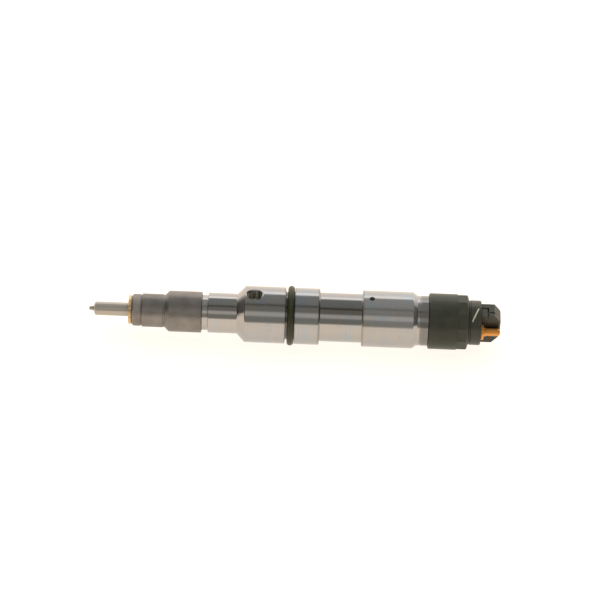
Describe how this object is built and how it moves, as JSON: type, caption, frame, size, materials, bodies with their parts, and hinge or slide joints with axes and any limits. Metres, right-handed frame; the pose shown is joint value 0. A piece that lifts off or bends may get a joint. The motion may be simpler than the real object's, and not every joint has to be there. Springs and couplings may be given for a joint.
{
  "type": "diesel fuel injector",
  "caption": "Common rail diesel injector: slim nozzle, copper seat washer, turned steel body with side fuel inlet, O-ring, black solenoid nut and keyed electrical connector.",
  "frame": {"origin": "on the injector's axis, in the face of the sealing washer that seats in the cylinder head", "axes": "+X along the axis from the nozzle to the electrical connector, +Z through the fuel inlet port, +Y completes a right-handed frame"},
  "size_m": [0.2108, 0.0306, 0.0306],
  "materials": {
    "turned_steel": "turned and polished, bright",
    "hardened_steel": "ground",
    "phosphated_steel": "phosphated, matt grey-brown",
    "black_steel": "black oxide, satin",
    "spring_steel": "drawn wire",
    "soft_iron": "sintered, satin",
    "copper": "bright, coined",
    "contact_metal": "bright",
    "winding_copper": "enamelled",
    "black_plastic": "moulded, slight gloss",
    "pale_plastic": "moulded",
    "black_rubber": "moulded, satin"
  },
  "bodies": {
    "housing": {"injector_body": "turned_steel", "nozzle_body": "hardened_steel", "locating_dowel_left": "hardened_steel", "locating_dowel_right": "hardened_steel", "spring_shim": "hardened_steel", "valve_piece": "hardened_steel", "lift_shim": "hardened_steel", "armature_guide": "hardened_steel", "valve_clamping_nut": "hardened_steel", "valve_spring_shim": "hardened_steel", "magnet_sleeve": "hardened_steel", "nozzle_retaining_nut": "phosphated_steel", "solenoid_nut": "black_steel", "nozzle_spring": "spring_steel", "overtravel_spring": "spring_steel", "valve_spring": "spring_steel", "magnet_core": "soft_iron", "sealing_washer": "copper", "contact_pin_left": "contact_metal", "contact_pin_right": "contact_metal", "coil_winding": "winding_copper", "terminal_lead_left": "winding_copper", "terminal_lead_right": "winding_copper", "connector_housing": "black_plastic", "coil_bobbin": "pale_plastic", "valve_piece_seal_ring": "pale_plastic", "body_o_ring": "black_rubber", "solenoid_o_ring": "black_rubber"},
    "needle": {"nozzle_needle": "hardened_steel"},
    "thrust_pin": {"thrust_pin": "hardened_steel"},
    "valve_piston": {"valve_piston": "hardened_steel"},
    "ball": {"valve_ball": "hardened_steel", "ball_retainer": "hardened_steel"},
    "armature": {"armature_pin": "hardened_steel", "lock_washer": "spring_steel"},
    "armature_plate": {"armature_plate": "soft_iron"}
  },
  "joints": [
    {"name": "valve_piston_lift", "type": "slide", "parent": "housing", "child": "valve_piston", "axis": [1, 0, 0], "range_m": [0, 0.0003], "stiffness_N_per_m": 400, "springref_m": -0.002},
    {"name": "thrust_pin_lift", "type": "slide", "parent": "housing", "child": "thrust_pin", "axis": [1, 0, 0], "range_m": [0, 0.0003], "deforming": ["nozzle_spring"]},
    {"name": "needle_lift", "type": "slide", "parent": "housing", "child": "needle", "axis": [1, 0, 0], "range_m": [0, 0.0003]},
    {"name": "armature_lift", "type": "slide", "parent": "housing", "child": "armature", "axis": [1, 0, 0], "range_m": [0, 0.00005], "stiffness_N_per_m": 200, "springref_m": -0.002, "deforming": ["valve_spring"]},
    {"name": "ball_lift", "type": "slide", "parent": "housing", "child": "ball", "axis": [1, 0, 0], "range_m": [0, 0.00005]},
    {"name": "armature_overtravel", "type": "slide", "parent": "armature", "child": "armature_plate", "axis": [1, 0, 0], "range_m": [-0.00004, 0], "stiffness_N_per_m": 100, "springref_m": 0.002, "deforming": ["overtravel_spring"]}
  ],
  "couplings": [
    {"joint": "thrust_pin_lift", "follows": "valve_piston_lift", "ratio": 1},
    {"joint": "needle_lift", "follows": "valve_piston_lift", "ratio": 1},
    {"joint": "ball_lift", "follows": "armature_lift", "ratio": 1}
  ]
}
